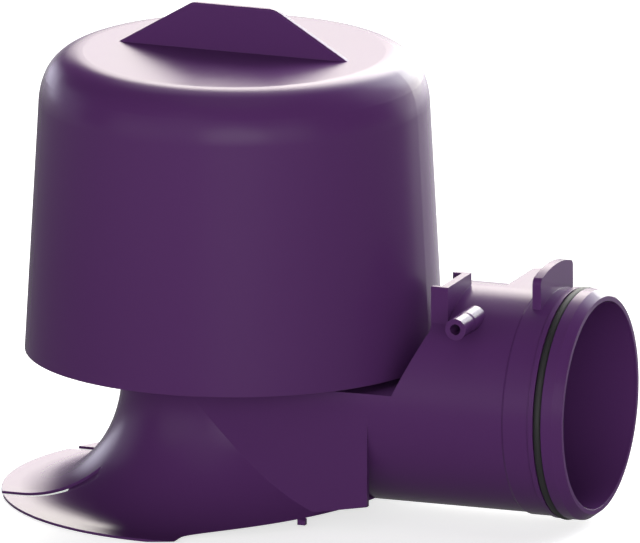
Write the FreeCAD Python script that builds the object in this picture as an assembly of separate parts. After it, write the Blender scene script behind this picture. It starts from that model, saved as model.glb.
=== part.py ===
import FreeCAD, Part
import math
import os

# Floor drain trap in one purple plastic: a moulded body with an upright overflow pipe, a flared foot
# and a level outlet pipe, a tapered bell pushed over the overflow pipe, and a rubber ring on the outlet.
# The axis of the overflow pipe is the working axis. At the end everything is moved so that the origin
# lies in the middle of the footprint, on the ground. +X runs along the outlet, +Z is up.

V = FreeCAD.Vector

# Overflow pipe and outlet pipe
pipe_radius = 35.0
neck_wall = 2.0
outlet_wall = 2.5
passage_narrowing = 0.6
outlet_axis_height = 37.7
outlet_reach = 121.2
neck_lip_radius = 0.9

# Bell
bell_rim_radius = 65.0
bell_rim_height = 45.7
bell_top_height = 140.3
bell_draft = math.radians(3.1)
bell_wall = 2.0
shoulder_lower_radius = 22.0
shoulder_upper_radius = 13.0
shoulder_change_angle = math.radians(24.0)
water_seal = 50.0

# Grip fin on the bell
fin_half_length = 37.8
fin_half_crest = 13.6
fin_height = 14.6
fin_thickness = 2.6
fin_corner_radius = 6.0
fin_edge_radius = 0.6

# Seating ribs inside the bell
rib_count = 4
rib_thickness = 1.8
rib_inner_radius = 30.5
rib_reach_down = 18.0
rib_lead_in = 2.0
rib_fit_clearance = 0.1
rib_seat_gap = 0.3

# Flared foot
foot_radius = 72.1
foot_lip_width = 5.6
foot_lip_thickness = 0.8
foot_root_thickness = 1.6
foot_root_height = 37.0
foot_cut_angle = math.radians(5.0)
foot_cut_start = -2.0
slot_offset = 31.2
slot_width = 4.0
slot_end = -43.5
groove_end = -33.0
groove_depth = 0.7
nib_along = 2.5
nib_across = 1.8
nib_x = 36.2
nib_cover = 0.53
nib_bottom = 1.5

# Side webs between the foot and the outlet pipe
web_thickness = 1.8
web_end = 57.1
web_end_height = 7.6
web_edge_angle = math.radians(10.0)

# Roof of the passage under the bell
roof_height = 43.6
roof_wall = 2.2
roof_bell_clearance = 0.9
roof_top_x = 73.8
roof_top_height = 62.7

# Channel bracket at the top of the outlet pipe
channel_start = 73.4
channel_end = 79.0
channel_near = -21.9
channel_far = -1.1
channel_flange = 1.6
channel_back = 2.6
channel_top = 76.6

# Hose nozzle
nozzle_x = 86.35
nozzle_height = 66.9
nozzle_radius = 3.4
nozzle_bore_radius = 1.7
nozzle_free_length = 8.0
nozzle_stop_step = 0.2
nozzle_stop_slope = 1.0

# Level tongue at the top of the outlet pipe
tongue_start = 89.3
tongue_length = 11.1
tongue_reach = 26.6
tongue_thickness = 1.8
tongue_corner = 2.0

# Outlet stub
sleeve_start = 101.5
sleeve_ramp = 0.8
sleeve_step = 0.5
collar_step = 0.5
back_collar = 1.6
groove_start = 112.2
groove_width = 2.7
front_collar = 3.6
mouth_lip = 1.5
stop_start = 104.1
stop_thickness = 2.8
stop_half_width = 14.2
stop_rise = 9.1
stop_corner = 2.2

# Rubber ring
ring_section = 2.5
ring_stand_out = 0.35
ring_play = 0.05

# Worked out from the sizes above
sleeve_radius = pipe_radius + sleeve_step
collar_radius = sleeve_radius + collar_step
neck_bore_radius = pipe_radius - neck_wall
outlet_bore_radius = pipe_radius - outlet_wall
passage_radius = outlet_bore_radius - passage_narrowing
neck_top = bell_rim_height + water_seal
ring_outer_radius = collar_radius + ring_stand_out
ring_centre_radius = ring_outer_radius - ring_section / 2
ring_centre_x = groove_start + groove_width / 2
groove_root_radius = ring_centre_radius - ring_section / 2 - ring_play
flare_radius = foot_radius - foot_lip_width
flare_width = flare_radius - pipe_radius
nib_root_height = math.tan(foot_cut_angle) * (nib_x - foot_cut_start) + nib_cover
nib_root_drop = (foot_root_height - nib_root_height) / (foot_root_height - foot_lip_thickness)
nib_radius = flare_radius - flare_width * math.sqrt(1 - nib_root_drop ** 2)
nib_y = math.sqrt(nib_radius ** 2 - nib_x ** 2)
footprint_shift = (foot_radius - outlet_reach) / 2
beyond = 5.0

pipe_axis_point = V(0, 0, outlet_axis_height)


def line(start, end):
    return Part.makeLine(start, end)


def polygon_face(points):
    return Part.Face(Part.makePolygon(points + [points[0]]))


def turned(edges, centre=V(0, 0, 0), axis=V(0, 0, 1)):
    """Solid of revolution from the closed outline that the edges make."""
    return Part.Face(Part.Wire(edges)).revolve(centre, axis, 360)


def slab_along_y(points, low_y, high_y):
    """Prism with an outline in X and Z, given as pairs, from low_y to high_y."""
    face = polygon_face([V(x, low_y, z) for x, z in points])
    return face.extrude(V(0, high_y - low_y, 0))


def block(low_x, high_x, low_y, high_y, low_z, high_z):
    size = (high_x - low_x, high_y - low_y, high_z - low_z)
    return Part.makeBox(*size, V(low_x, low_y, low_z))


def joined(shapes):
    return shapes[0].fuse(shapes[1:]).removeSplitter()


def bell_outline(inset):
    """Edges of the bell's profile from the rim to the axis, moved inwards by inset."""
    lower = shoulder_lower_radius
    upper = shoulder_upper_radius
    turn = shoulder_change_angle
    tangent_height = (bell_top_height - upper - (lower - upper) * math.sin(turn)
                      + lower * math.sin(bell_draft))
    tangent_radius = bell_rim_radius - math.tan(bell_draft) * (tangent_height - bell_rim_height)
    lower_centre = V(tangent_radius - lower * math.cos(bell_draft), 0,
                     tangent_height - lower * math.sin(bell_draft))
    upper_centre = lower_centre + V(math.cos(turn), 0, math.sin(turn)) * (lower - upper)

    def on_arc(centre, radius, angle):
        return centre + V(math.cos(angle), 0, math.sin(angle)) * (radius - inset)

    start = on_arc(lower_centre, lower, bell_draft)
    middle = on_arc(lower_centre, lower, (bell_draft + turn) / 2)
    change = on_arc(lower_centre, lower, turn)
    crest_middle = on_arc(upper_centre, upper, (turn + math.pi / 2) / 2)
    crest = on_arc(upper_centre, upper, math.pi / 2)
    rim = V(start.x + math.tan(bell_draft) * (start.z - bell_rim_height), 0, bell_rim_height)
    return [line(rim, start),
            Part.Arc(start, middle, change).toShape(),
            Part.Arc(change, crest_middle, crest).toShape(),
            line(crest, V(0, 0, crest.z))]


def bell_solid(inset, base_height=bell_rim_height):
    """Solid inside the bell's profile at the inset, closed at the rim."""
    edges = bell_outline(inset)
    rim = edges[0].Vertexes[0].Point
    top = edges[-1].Vertexes[-1].Point
    axis_base = V(0, 0, rim.z)
    return turned(edges + [line(top, axis_base), line(axis_base, rim)])


def grip_fin():
    """Upright trapezium through the middle of the bell's top, with rounded crest corners."""
    low = bell_top_height - bell_wall / 2
    high = bell_top_height + fin_height
    slope = (fin_half_length - fin_half_crest) / fin_height
    foot = fin_half_length + slope * (bell_top_height - low)
    plate = slab_along_y([(-foot, low), (-fin_half_crest, high), (fin_half_crest, high), (foot, low)],
                         -fin_thickness / 2, fin_thickness / 2)
    corners = [edge for edge in plate.Edges
               if abs(edge.Vertexes[0].Z - high) < 1e-6 and abs(edge.Vertexes[1].Z - high) < 1e-6
               and abs(edge.Vertexes[0].X - edge.Vertexes[1].X) < 1e-6]
    plate = plate.makeFillet(fin_corner_radius, corners)
    outline = [edge for edge in plate.Edges if edge_lies_on_side(edge, low)]
    return plate.makeFillet(fin_edge_radius, outline)


def edge_lies_on_side(edge, low):
    """True for the fin's outline edges on either face, apart from the edge sunk in the bell."""
    ends = [vertex.Point for vertex in edge.Vertexes]
    on_one_face = abs(ends[0].y - ends[1].y) < 1e-6
    sunk = all(abs(point.z - low) < 1e-6 for point in ends)
    return on_one_face and not sunk


def seating_ribs():
    """Radial ribs that hang from the bell's wall, rest on the overflow pipe and grip its outside."""
    seat = neck_top + rib_seat_gap
    grip = pipe_radius + rib_fit_clearance
    low = neck_top - rib_reach_down
    outline = [V(rib_inner_radius, 0, bell_top_height),
               V(rib_inner_radius, 0, seat),
               V(grip, 0, seat),
               V(grip, 0, low + rib_lead_in),
               V(grip + rib_lead_in / 2, 0, low),
               V(bell_rim_radius, 0, low),
               V(bell_rim_radius, 0, bell_top_height)]
    plate = polygon_face(outline).extrude(V(0, rib_thickness, 0))
    plate.translate(V(0, -rib_thickness / 2, 0))
    inside = bell_solid(bell_wall / 2)
    ribs = []
    for number in range(rib_count):
        rib = plate.common(inside)
        rib.rotate(V(0, 0, 0), V(0, 0, 1), 360.0 / rib_count * (number + 0.5))
        ribs.append(rib)
    return ribs


def make_bell():
    shell = bell_solid(0).cut(bell_solid(bell_wall))
    return joined([shell, grip_fin()] + seating_ribs())


def flare_arc(thickness_at_root, drop):
    """Quarter of an ellipse from the foot's root on the neck down to the start of its flat lip."""
    across = flare_width + thickness_at_root
    down = foot_root_height - foot_lip_thickness + drop
    centre = V(flare_radius, 0, foot_root_height)
    start = centre - V(across, 0, 0)
    end = centre - V(0, 0, down)
    if across > down:
        curve = Part.Ellipse(start, end, centre)
    else:
        curve = Part.Ellipse(end, start, centre)
    first = curve.parameter(start)
    last = curve.parameter(end)
    if last < first:
        first, last = last, first
    if last - first > math.pi:
        first, last = last, first + 2 * math.pi
    return curve.toShape(first, last), start, end


def below_flare(thickness_at_root, drop, depth):
    """Solid of revolution that fills everything under the flare's face down to depth."""
    arc, root, lip = flare_arc(thickness_at_root, drop)
    rim = V(foot_radius + beyond, 0, lip.z)
    base = V(foot_radius + beyond, 0, depth)
    axis_base = V(0, 0, depth)
    axis_top = V(0, 0, root.z)
    return turned([arc, line(lip, rim), line(rim, base), line(base, axis_base),
                   line(axis_base, axis_top), line(axis_top, root)])


def foot_shell():
    """Trumpet-shaped foot, thinner towards its lip, cut off below a plane that rises along the outlet."""
    reach = foot_radius + beyond
    disc = Part.makeCylinder(foot_radius, foot_root_height)
    shell = disc.common(below_flare(0, 0, -beyond))
    shell = shell.cut(below_flare(foot_root_thickness, foot_lip_thickness, -beyond))
    rise = math.tan(foot_cut_angle) * (reach - foot_cut_start)
    wedge = slab_along_y([(foot_cut_start, 0), (reach, rise), (reach, -beyond), (foot_cut_start, -beyond)],
                         -reach, reach)
    shell = shell.cut(wedge)
    for side in (-1, 1):
        middle = side * slot_offset
        low_y = middle - slot_width / 2
        high_y = middle + slot_width / 2
        shell = shell.cut(block(-reach, slot_end, low_y, high_y, -beyond, foot_root_height))
        strip = block(slot_end - 1, groove_end, low_y, high_y, -beyond, foot_root_height)
        skin = strip.cut(below_flare(groove_depth, groove_depth, -2 * beyond))
        shell = shell.cut(skin)
    return shell


def foot_nibs():
    """Two small pegs under the cut edge of the foot, one on each side."""
    nibs = []
    under_flare = below_flare(0, 0, -beyond)
    for side in (-1, 1):
        low_y = side * nib_y - nib_across / 2
        peg = block(nib_x, nib_x + nib_along, low_y, low_y + nib_across, nib_bottom, foot_root_height)
        nibs.append(peg.common(under_flare))
    return nibs


def side_webs():
    """Flat webs level with the outlet pipe's sides, from the foot's flare to a square end."""
    fall = math.tan(web_edge_angle)
    start_height = web_end_height - fall * web_end
    webs = []
    for side in (-1, 1):
        outer = side * pipe_radius
        inner = side * (pipe_radius - web_thickness)
        web = slab_along_y([(0, outlet_axis_height), (web_end, outlet_axis_height),
                            (web_end, web_end_height), (0, start_height)],
                           min(outer, inner), max(outer, inner))
        webs.append(web.cut(below_flare(foot_root_thickness, foot_lip_thickness, -2 * foot_radius)))
    return webs


def space_round_bell(growth):
    """Room above the passage's roof that the bell needs, grown downwards and outwards."""
    rim_x = bell_rim_radius + roof_bell_clearance + growth
    slope = (roof_top_height - bell_rim_height) / (roof_top_x - bell_rim_radius - roof_bell_clearance)
    low = roof_height - growth
    low_x = rim_x - (bell_rim_height - low) / slope
    top_x = roof_top_x + growth
    reach = 2 * pipe_radius
    return slab_along_y([(-reach, low), (low_x, low), (top_x, low + (top_x - low_x) * slope),
                         (top_x, neck_top), (-reach, neck_top)], -reach, reach)


def outlet_pipe_solid():
    """Outlet pipe turned about its axis: plain pipe, sleeve, ring groove between collars, tapered nose."""
    back_collar_x = groove_start - back_collar
    groove_end_x = groove_start + groove_width
    mouth_radius = outlet_bore_radius + mouth_lip
    profile = [(0, 0), (0, pipe_radius), (sleeve_start, pipe_radius),
               (sleeve_start + sleeve_ramp, sleeve_radius), (back_collar_x, sleeve_radius),
               (back_collar_x, collar_radius), (groove_start, collar_radius),
               (groove_start, groove_root_radius), (groove_end_x, groove_root_radius),
               (groove_end_x, collar_radius), (groove_end_x + front_collar, collar_radius),
               (outlet_reach, mouth_radius), (outlet_reach, 0)]
    points = [V(x, 0, outlet_axis_height + radius) for x, radius in profile]
    return polygon_face(points).revolve(pipe_axis_point, V(1, 0, 0), 360)


def neck_solid(radius, lip, top, bell_mouthed):
    """Upright round solid from the outlet's axis to the top, its rim rounded outwards or inwards."""
    base = outlet_axis_height
    rim_radius = radius + lip if bell_mouthed else radius - lip
    bend = V(radius, 0, top - lip)
    rim = V(rim_radius, 0, top)
    centre = V(rim_radius, 0, top - lip)
    side = -1 if bell_mouthed else 1
    middle = centre + V(side * lip * math.cos(math.pi / 4), 0, lip * math.sin(math.pi / 4))
    edges = [line(V(0, 0, base), V(radius, 0, base)), line(V(radius, 0, base), bend),
             Part.Arc(bend, middle, rim).toShape()]
    if bell_mouthed:
        over = V(rim_radius, 0, top + beyond)
        edges += [line(rim, over), line(over, V(0, 0, over.z)), line(V(0, 0, over.z), V(0, 0, base))]
    else:
        edges += [line(rim, V(0, 0, top)), line(V(0, 0, top), V(0, 0, base))]
    return turned(edges)


def elbow_heel(upright_radius, level_radius):
    """Where the upright and the level cylinder meet below the axis, on the side away from the outlet."""
    upright = Part.makeCylinder(upright_radius, outlet_axis_height + beyond, V(0, 0, -beyond))
    level = Part.makeCylinder(level_radius, 2 * pipe_radius, pipe_axis_point - V(pipe_radius, 0, 0),
                              V(1, 0, 0))
    return upright.common(level)


def waterway():
    """The bore of the neck, the elbow and the outlet pipe, with its lowered roof under the bell."""
    passage = Part.makeCylinder(passage_radius, roof_top_x + roof_wall, pipe_axis_point, V(1, 0, 0))
    passage = passage.cut(space_round_bell(roof_wall))
    stub_start = pipe_axis_point + V(roof_top_x + roof_wall, 0, 0)
    stub = Part.makeCylinder(outlet_bore_radius, outlet_reach + beyond - stub_start.x, stub_start, V(1, 0, 0))
    neck = neck_solid(neck_bore_radius, neck_lip_radius, neck_top, True)
    return joined([passage, stub, neck, elbow_heel(neck_bore_radius, passage_radius)])


def channel_bracket():
    """Channel open towards the bell: a back plate with a flange at each end."""
    low = outlet_axis_height + pipe_radius / 2
    back = block(channel_end - channel_back, channel_end, channel_near, channel_far, low, channel_top)
    near = block(channel_start, channel_end, channel_near, channel_near + channel_flange, low, channel_top)
    far = block(channel_start, channel_end, channel_far - channel_flange, channel_far, low, channel_top)
    return [back, near, far]


def nozzle():
    """Thin tube towards the near side, with a slope to a slightly thicker root that stops the hose."""
    end = V(nozzle_x, -pipe_radius, nozzle_height)
    slope_start = end + V(0, nozzle_free_length, 0)
    root_start = slope_start + V(0, nozzle_stop_slope, 0)
    root_radius = nozzle_radius + nozzle_stop_step
    root_length = pipe_radius / 2 - nozzle_free_length - nozzle_stop_slope
    tube = Part.makeCylinder(nozzle_radius, nozzle_free_length, end, V(0, 1, 0))
    slope = Part.makeCone(nozzle_radius, root_radius, nozzle_stop_slope, slope_start, V(0, 1, 0))
    root = Part.makeCylinder(root_radius, root_length, root_start, V(0, 1, 0))
    return tube.fuse([slope, root])


def nozzle_bore():
    return Part.makeCylinder(nozzle_bore_radius, pipe_radius, V(nozzle_x, -pipe_radius, nozzle_height),
                             V(0, 1, 0))


def tongue():
    """Level tongue that leaves the top of the outlet pipe towards the far side."""
    top = outlet_axis_height + pipe_radius
    plate = block(tongue_start, tongue_start + tongue_length, 0, tongue_reach, top - tongue_thickness, top)
    corners = [edge for edge in plate.Edges
               if abs(edge.Vertexes[0].Z - edge.Vertexes[1].Z) > 1e-6
               and edge.Vertexes[0].Y > tongue_reach / 2]
    return plate.makeFillet(tongue_corner, corners)


def stop_plate():
    """Upright plate across the stub's top, its crest round about the outlet's axis."""
    crest_radius = pipe_radius + stop_rise
    side_height = outlet_axis_height + math.sqrt(crest_radius ** 2 - stop_half_width ** 2)
    low = outlet_axis_height + pipe_radius - stop_rise
    crest = outlet_axis_height + crest_radius
    left = V(stop_start, -stop_half_width, 0)
    right = V(stop_start, stop_half_width, 0)
    edges = [line(left + V(0, 0, low), left + V(0, 0, side_height)),
             Part.Arc(left + V(0, 0, side_height), V(stop_start, 0, crest),
                      right + V(0, 0, side_height)).toShape(),
             line(right + V(0, 0, side_height), right + V(0, 0, low)),
             line(right + V(0, 0, low), left + V(0, 0, low))]
    plate = Part.Face(Part.Wire(edges)).extrude(V(stop_thickness, 0, 0))
    corners = [edge for edge in plate.Edges
               if abs(edge.Vertexes[0].X - edge.Vertexes[1].X) > 1e-6
               and edge.Vertexes[0].Z > low + 1]
    return plate.makeFillet(stop_corner, corners)


def make_trap_body():
    passage = outlet_pipe_solid().cut(space_round_bell(0))
    outside = [passage, neck_solid(pipe_radius, neck_lip_radius, neck_top, False),
               elbow_heel(pipe_radius, pipe_radius), nozzle(), tongue(), stop_plate()]
    outside += channel_bracket() + side_webs() + foot_nibs() + [foot_shell()]
    return joined(outside).cut(waterway()).cut(nozzle_bore()).removeSplitter()


def make_outlet_ring():
    centre = V(ring_centre_x, 0, outlet_axis_height)
    return Part.makeTorus(ring_centre_radius, ring_section / 2, centre, V(1, 0, 0))


os.makedirs("parts", exist_ok=True)
pieces = {"trap_body": make_trap_body(), "bell": make_bell(), "outlet_ring": make_outlet_ring()}
for name, shape in pieces.items():
    shape.translate(V(footprint_shift, 0, 0))
    shape.exportStep("parts/" + name + ".step")
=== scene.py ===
import math

import bpy
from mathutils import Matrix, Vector

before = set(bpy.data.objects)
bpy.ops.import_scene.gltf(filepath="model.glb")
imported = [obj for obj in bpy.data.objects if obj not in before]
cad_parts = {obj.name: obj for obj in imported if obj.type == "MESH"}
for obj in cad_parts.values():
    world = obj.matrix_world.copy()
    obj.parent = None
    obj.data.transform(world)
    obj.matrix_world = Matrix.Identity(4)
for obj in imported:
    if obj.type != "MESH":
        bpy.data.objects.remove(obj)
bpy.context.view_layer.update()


# Viewpoint: the trap is looked at from the hose nozzle's side, slightly from above, through a long
# lens that shows no perspective. One metre of the trap covers 3226 pixels of a frame that is 640
# pixels wide.
view_azimuth = math.radians(20.63)
view_elevation = math.radians(13.94)
looked_at = Vector((0.00385, 0.0, 0.0723))
camera_distance = 1.5
frame_pixels = 640
pixels_per_metre = 3226
towards_camera = Vector((
    math.sin(view_azimuth) * math.cos(view_elevation),
    -math.cos(view_azimuth) * math.cos(view_elevation),
    math.sin(view_elevation),
))
camera_data = bpy.data.cameras.new("product_view")
camera_data.type = "ORTHO"
camera_data.ortho_scale = frame_pixels / pixels_per_metre
camera_data.clip_end = 20.0
camera = bpy.data.objects.new("product_view", camera_data)
camera.location = looked_at + towards_camera * camera_distance
camera.rotation_euler = (math.pi / 2 - view_elevation, 0.0, view_azimuth)
bpy.context.collection.objects.link(camera)
bpy.context.scene.camera = camera
bpy.context.scene.view_settings.view_transform = "Standard"


# Studio: a white table top that runs on out of sight, a soft lamp behind and above, a tall white
# reflector behind and to the right, a smaller cool one behind and to the left, and a dim front.
# Nothing here belongs to the trap.
def node(tree, kind, place, feeds=None, **settings):
    """A node of the kind at the place. Each input in feeds takes a value or another node's output."""
    made = tree.nodes.new(kind)
    made.location = place
    for name, value in settings.items():
        setattr(made, name, value)
    for label, feed in (feeds or {}).items():
        if isinstance(feed, bpy.types.NodeSocket):
            tree.links.new(feed, made.inputs[label])
        else:
            made.inputs[label].default_value = feed
    return made


def group_with(name, inputs, outputs):
    """An empty shader node group with its sockets. Inputs are (name, kind, value)."""
    tree = bpy.data.node_groups.new(name, "ShaderNodeTree")
    for label, kind, value in inputs:
        socket = tree.interface.new_socket(name=label, in_out="INPUT", socket_type=kind)
        socket.default_value = value
    for label, kind in outputs:
        tree.interface.new_socket(name=label, in_out="OUTPUT", socket_type=kind)
    enter = node(tree, "NodeGroupInput", (-900, 0))
    leave = node(tree, "NodeGroupOutput", (900, 0))
    return tree, enter, leave


def direction(turn, height):
    """The unit vector at a turn from the camera, counted to its right, and a height, in degrees."""
    heading = view_azimuth - math.pi / 2 + math.radians(turn)
    rise = math.radians(height)
    return math.cos(heading) * math.cos(rise), math.sin(heading) * math.cos(rise), math.sin(rise)


half_table = 4.0
gap_under_lip = 0.0002
corners = [(-half_table, -half_table, 0), (half_table, -half_table, 0),
           (half_table, half_table, 0), (-half_table, half_table, 0)]
table_mesh = bpy.data.meshes.new("table_top")
table_mesh.from_pydata(corners, [], [(0, 1, 2, 3)])
table_top = bpy.data.objects.new("table_top", table_mesh)
table_top.location.z = -gap_under_lip
bpy.context.collection.objects.link(table_top)

# The paper on the table is near white where it is seen, and gives back less light to the plastic.
paper_seen = (0.75, 0.75, 0.75, 1)
paper_bounce = (0.30, 0.29, 0.30, 1)
paper_glow = 0.68
table_white = bpy.data.materials.new("table_white")
table_white.use_nodes = True
tree = table_white.node_tree
tree.nodes.clear()
path = node(tree, "ShaderNodeLightPath", (-1100, 0))
seen = node(tree, "ShaderNodeMath", (-900, 0), {
    0: path.outputs["Is Camera Ray"], 1: path.outputs["Is Transmission Ray"]}, operation="MAXIMUM")
tone = node(tree, "ShaderNodeMix", (-450, 100), {
    "Factor": seen.outputs[0], "A": paper_bounce, "B": paper_seen}, data_type="RGBA")
paper = node(tree, "ShaderNodeBsdfDiffuse", (-200, 100), {"Color": tone.outputs["Result"]})
lift = node(tree, "ShaderNodeMath", (-450, -150), {0: seen.outputs[0], 1: paper_glow}, operation="MULTIPLY")
glow = node(tree, "ShaderNodeEmission", (-200, -100), {"Strength": lift.outputs[0]})
lit = node(tree, "ShaderNodeAddShader", (0, 0), {0: paper.outputs[0], 1: glow.outputs[0]})

# Its image in the plastic is dim, with a pool of light behind on the right that grows far out.
pool_turn = 145
pool_edge, pool_core = 0.85, 0.96       # cosines of the angle between a spot's bearing and the pool's
pool_outside, pool_inside = 0.28, 1.1
near_reach, far_reach = 0.45, 1.3       # metres from the middle of the trap
near_gain, far_gain = 1.0, 3.4
spot = node(tree, "ShaderNodeTexCoord", (-1100, -400))
bearing = node(tree, "ShaderNodeVectorMath", (-900, -400), {
    0: spot.outputs["Object"]}, operation="NORMALIZE")
behind_right = node(tree, "ShaderNodeVectorMath", (-700, -400), {
    0: bearing.outputs["Vector"], 1: direction(pool_turn, 0)}, operation="DOT_PRODUCT")
pool = node(tree, "ShaderNodeMapRange", (-500, -400), {
    "Value": behind_right.outputs["Value"], "From Min": pool_edge, "From Max": pool_core,
    "To Min": pool_outside, "To Max": pool_inside}, interpolation_type="SMOOTHSTEP")
distance = node(tree, "ShaderNodeVectorMath", (-900, -600), {0: spot.outputs["Object"]}, operation="LENGTH")
gain = node(tree, "ShaderNodeMapRange", (-700, -600), {
    "Value": distance.outputs["Value"], "From Min": near_reach, "From Max": far_reach,
    "To Min": near_gain, "To Max": far_gain}, interpolation_type="SMOOTHSTEP")
brighter = node(tree, "ShaderNodeMath", (-350, -450), {
    0: pool.outputs["Result"], 1: gain.outputs["Result"]}, operation="MULTIPLY")
mirrored = node(tree, "ShaderNodeEmission", (-200, -300), {"Strength": brighter.outputs[0]})
chosen = node(tree, "ShaderNodeMixShader", (200, 0), {
    "Fac": path.outputs["Is Glossy Ray"], 1: lit.outputs[0], 2: mirrored.outputs[0]})
node(tree, "ShaderNodeOutputMaterial", (400, 0), {"Surface": chosen.outputs[0]})
table_mesh.materials.append(table_white)

# A soft box lights the rays that point within its edge, fully within its core. Both are cosines.
soft_box_tree, enter, leave = group_with(
    "soft_box",
    [("Ray", "NodeSocketVector", (0, 0, 1)), ("Facing", "NodeSocketVector", (0, 0, 1)),
     ("Edge", "NodeSocketFloat", 0.9), ("Core", "NodeSocketFloat", 1.0),
     ("Light", "NodeSocketVector", (1, 1, 1))],
    [("Light", "NodeSocketVector")],
)
aim = node(soft_box_tree, "ShaderNodeVectorMath", (-600, 0), {
    0: enter.outputs["Ray"], 1: enter.outputs["Facing"]}, operation="DOT_PRODUCT")
falloff = node(soft_box_tree, "ShaderNodeMapRange", (-200, 0), {
    "Value": aim.outputs["Value"], "From Min": enter.outputs["Edge"],
    "From Max": enter.outputs["Core"]}, interpolation_type="SMOOTHSTEP")
shone = node(soft_box_tree, "ShaderNodeVectorMath", (200, 0), {
    0: enter.outputs["Light"], "Scale": falloff.outputs["Result"]}, operation="SCALE")
soft_box_tree.links.new(shone.outputs["Vector"], leave.inputs["Light"])

world = bpy.data.worlds.new("studio")
bpy.context.scene.world = world
world.use_nodes = True
tree = world.node_tree
tree.nodes.clear()
ray = node(tree, "ShaderNodeTexCoord", (-1200, 0))
white = (1.0, 1.0, 1.0)
warm = (1.0, 0.94, 0.88)
straw = (0.99, 1.0, 0.90)
ice = (0.92, 0.99, 1.0)
cool = (0.93, 0.92, 1.0)
cold = (0.86, 0.84, 1.0)
total = None
for turn, height, edge, core, strength, colour in (     # the first four in degrees
    (0, 6, 24, 6, 5.6, white),              # wide front light beside the camera
    (30, 6, 24, 6, 2.2, white),
    (126, 6, 20, 6, 2.6, white),            # wall on the right
    (120, 30, 24, 6, 2.3, cool),
    (153, 6, 24, 6, 8.0, straw),            # tall reflector behind and to the right
    (150, 28, 24, 10, 6.6, ice),
    (180, 6, 24, 6, 0.5, white),            # wall behind, at table height
    (177, 14, 16, 4, 3.3, warm),            # low strip behind, mirrored in the level faces
    (171, 31, 18.5, 7, 11.8, warm),         # lamp behind and above
    (180, 54, 24, 6, 1.8, white),
    (212, 0, 20, 6, 4.35, cold),            # small reflector behind and to the left
    (240, 6, 24, 6, 1.4, cold),
    (300, 6, 24, 6, 1.5, white),            # dim front on the left
    (330, 6, 24, 6, 1.0, white),
    (330, 30, 24, 6, 0.7, white),
    (0, 85, 24, 6, 0.8, white),             # ceiling
):
    box = node(tree, "ShaderNodeGroup", (-900, 6 * turn), {
        "Ray": ray.outputs["Generated"],
        "Facing": direction(turn, height),
        "Edge": math.cos(math.radians(edge)),
        "Core": math.cos(math.radians(core)),
        "Light": [strength * part for part in colour],
    }, node_tree=soft_box_tree)
    if total is None:
        total = box.outputs["Light"]
    else:
        added = node(tree, "ShaderNodeVectorMath", (-600, 6 * turn), {
            0: total, 1: box.outputs["Light"]}, operation="ADD")
        total = added.outputs["Vector"]
path = node(tree, "ShaderNodeLightPath", (-600, -200))
level = node(tree, "ShaderNodeMix", (-300, 0), {
    "Factor": path.outputs["Is Camera Ray"], "A": total, "B": (1.0, 1.0, 1.0, 1)}, data_type="RGBA")
air = node(tree, "ShaderNodeBackground", (-100, 0), {"Color": level.outputs["Result"], "Strength": 1.0})
node(tree, "ShaderNodeOutputWorld", (100, 0), {"Surface": air.outputs[0]})


# Trap body: one injection moulding in polypropylene with an upright overflow pipe, a flared foot and
# a level outlet. The tool surface is lightly polished, so the plastic is semi-gloss, with a fine
# moulding grain, faint flow marks and edges that are a little rounded and rubbed.
grain_tree, enter, leave = group_with(
    "moulding_grain",
    [("Colour", "NodeSocketColor", (0.1, 0.1, 0.1, 1)),
     ("Flow colour", "NodeSocketColor", (0.1, 0.1, 0.1, 1)), ("Flow amount", "NodeSocketFloat", 0.3),
     ("Roughness", "NodeSocketFloat", 0.4), ("Roughness spread", "NodeSocketFloat", 0.08),
     ("Grain scale", "NodeSocketFloat", 1600.0)],
    [("Colour", "NodeSocketColor"), ("Roughness", "NodeSocketFloat"), ("Height", "NodeSocketFloat")],
)
flow_scale = 18.0       # flow marks about 55 mm across
patch_scale = 120.0     # patches of more and less polish, about 8 mm across
place = node(grain_tree, "ShaderNodeTexCoord", (-900, -250))
cloud = node(grain_tree, "ShaderNodeTexNoise", (-600, 200), {
    "Vector": place.outputs["Object"], "Scale": flow_scale, "Detail": 4.0})
streak = node(grain_tree, "ShaderNodeMath", (-400, 200), {
    0: cloud.outputs["Fac"], 1: enter.outputs["Flow amount"]}, operation="MULTIPLY")
tint = node(grain_tree, "ShaderNodeMix", (-150, 250), {
    "Factor": streak.outputs[0], "A": enter.outputs["Colour"],
    "B": enter.outputs["Flow colour"]}, data_type="RGBA")
grain_tree.links.new(tint.outputs["Result"], leave.inputs["Colour"])
patch = node(grain_tree, "ShaderNodeTexNoise", (-600, -100), {
    "Vector": place.outputs["Object"], "Scale": patch_scale, "Detail": 4.0})
centred = node(grain_tree, "ShaderNodeMath", (-400, -100), {
    0: patch.outputs["Fac"], 1: 0.5}, operation="SUBTRACT")
rough = node(grain_tree, "ShaderNodeMath", (-150, -50), {
    0: centred.outputs[0], 1: enter.outputs["Roughness spread"],
    2: enter.outputs["Roughness"]}, operation="MULTIPLY_ADD")
grain_tree.links.new(rough.outputs[0], leave.inputs["Roughness"])
speck = node(grain_tree, "ShaderNodeTexNoise", (-600, -400), {
    "Vector": place.outputs["Object"], "Scale": enter.outputs["Grain scale"], "Detail": 3.0})
grain_tree.links.new(speck.outputs["Fac"], leave.inputs["Height"])

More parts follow.
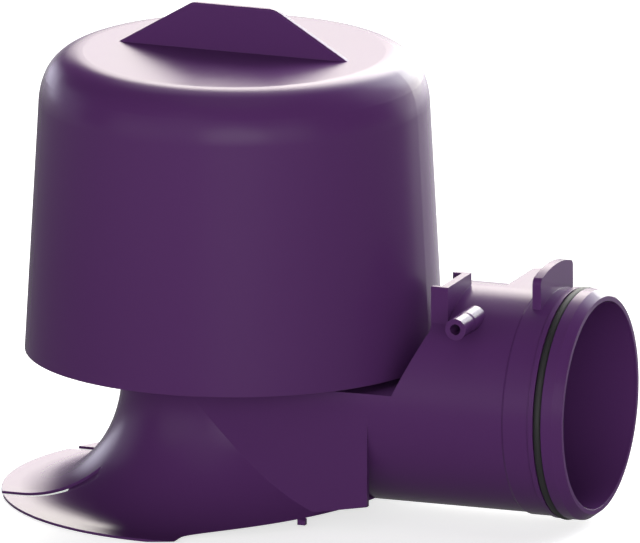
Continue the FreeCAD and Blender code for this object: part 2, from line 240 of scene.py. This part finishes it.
edge_tree, enter, leave = group_with(
    "rubbed_edges",
    [("Radius", "NodeSocketFloat", 0.0004), ("Amount", "NodeSocketFloat", 0.4)],
    [("Mask", "NodeSocketFloat"), ("Normal", "NodeSocketVector")],
)
bend_start, bend_full = 0.97, 0.75      # cosines between the flat and the rounded normal at an edge
rub_scale = 260.0                       # rubbed places about 4 mm long
rounded = node(edge_tree, "ShaderNodeBevel", (-600, 0), {"Radius": enter.outputs["Radius"]}, samples=6)
flat = node(edge_tree, "ShaderNodeNewGeometry", (-600, -200))
likeness = node(edge_tree, "ShaderNodeVectorMath", (-400, 0), {
    0: rounded.outputs["Normal"], 1: flat.outputs["Normal"]}, operation="DOT_PRODUCT")
bend = node(edge_tree, "ShaderNodeMapRange", (-200, 0), {
    "Value": likeness.outputs["Value"], "From Min": bend_start, "From Max": bend_full})
spot = node(edge_tree, "ShaderNodeTexCoord", (-600, -400))
rub = node(edge_tree, "ShaderNodeTexNoise", (-400, -300), {
    "Vector": spot.outputs["Object"], "Scale": rub_scale, "Detail": 4.0})
worn = node(edge_tree, "ShaderNodeMath", (0, 0), {
    0: bend.outputs["Result"], 1: rub.outputs["Fac"]}, operation="MULTIPLY")
scaled = node(edge_tree, "ShaderNodeMath", (200, 0), {
    0: worn.outputs[0], 1: enter.outputs["Amount"]}, operation="MULTIPLY")
edge_tree.links.new(scaled.outputs[0], leave.inputs["Mask"])
eased = node(edge_tree, "ShaderNodeMix", (0, -200), {
    "Factor": bend.outputs["Result"], "A": flat.outputs["Normal"],
    "B": rounded.outputs["Normal"]}, data_type="VECTOR")
unit = node(edge_tree, "ShaderNodeVectorMath", (200, -200), {
    0: eased.outputs["Result"]}, operation="NORMALIZE")
edge_tree.links.new(unit.outputs["Vector"], leave.inputs["Normal"])


def moulded_plastic(name, flow_colour, edge_radius):
    """Purple semi-gloss plastic with grain, flow marks and lightly rubbed, rounded edges."""
    material = bpy.data.materials.new(name)
    material.use_nodes = True
    tree = material.node_tree
    surface = tree.nodes["Principled BSDF"]
    surface.inputs["Specular IOR Level"].default_value = 0.10
    grain = node(tree, "ShaderNodeGroup", (-900, 200), {
        "Colour": (0.090, 0.028, 0.126, 1), "Flow colour": flow_colour, "Flow amount": 0.35,
        "Roughness": 0.25, "Roughness spread": 0.04, "Grain scale": 1500.0}, node_tree=grain_tree)
    edges = node(tree, "ShaderNodeGroup", (-900, -200), {
        "Radius": edge_radius, "Amount": 0.5}, node_tree=edge_tree)
    rubbed = node(tree, "ShaderNodeMix", (-500, 200), {
        "Factor": edges.outputs["Mask"], "A": grain.outputs["Colour"],
        "B": (0.20, 0.09, 0.25, 1)}, data_type="RGBA")
    relief = node(tree, "ShaderNodeBump", (-400, -200), {
        "Strength": 0.12, "Distance": 0.00006,
        "Height": grain.outputs["Height"], "Normal": edges.outputs["Normal"]})
    tree.links.new(rubbed.outputs["Result"], surface.inputs["Base Color"])
    tree.links.new(grain.outputs["Roughness"], surface.inputs["Roughness"])
    tree.links.new(relief.outputs["Normal"], surface.inputs["Normal"])
    return material


def dress(piece, material):
    """Puts the material in every slot of the CAD piece."""
    if not piece.material_slots:
        piece.data.materials.append(material)
    for slot in piece.material_slots:
        slot.material = material


body_plastic = moulded_plastic(
    "trap_body_plastic", flow_colour=(0.102, 0.034, 0.140, 1), edge_radius=0.0004)
dress(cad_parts["trap_body"], body_plastic)


# Bell: a second moulding in the same plastic, a tapered cup with a grip fin, pushed over the top of
# the overflow pipe. Its flow marks are fainter and its edges are a little rounder than the body's.
bell_plastic = moulded_plastic(
    "bell_plastic", flow_colour=(0.100, 0.033, 0.138, 1), edge_radius=0.0005)
dress(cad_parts["bell"], bell_plastic)


# Outlet ring: a round ring of black nitrile rubber, moulded in one piece and rolled into the groove
# near the mouth. Its surface is matt, with a fine bloom and traces of talc.
ring_rubber = bpy.data.materials.new("ring_rubber")
ring_rubber.use_nodes = True
tree = ring_rubber.node_tree
surface = tree.nodes["Principled BSDF"]
surface.inputs["Specular IOR Level"].default_value = 0.35
bloom = node(tree, "ShaderNodeGroup", (-700, 100), {
    "Colour": (0.012, 0.012, 0.013, 1), "Flow colour": (0.045, 0.043, 0.046, 1), "Flow amount": 0.5,
    "Roughness": 0.62, "Roughness spread": 0.2, "Grain scale": 3200.0}, node_tree=grain_tree)
relief = node(tree, "ShaderNodeBump", (-300, -200), {
    "Strength": 0.25, "Distance": 0.00005, "Height": bloom.outputs["Height"]})
tree.links.new(bloom.outputs["Colour"], surface.inputs["Base Color"])
tree.links.new(bloom.outputs["Roughness"], surface.inputs["Roughness"])
tree.links.new(relief.outputs["Normal"], surface.inputs["Normal"])
dress(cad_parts["outlet_ring"], ring_rubber)
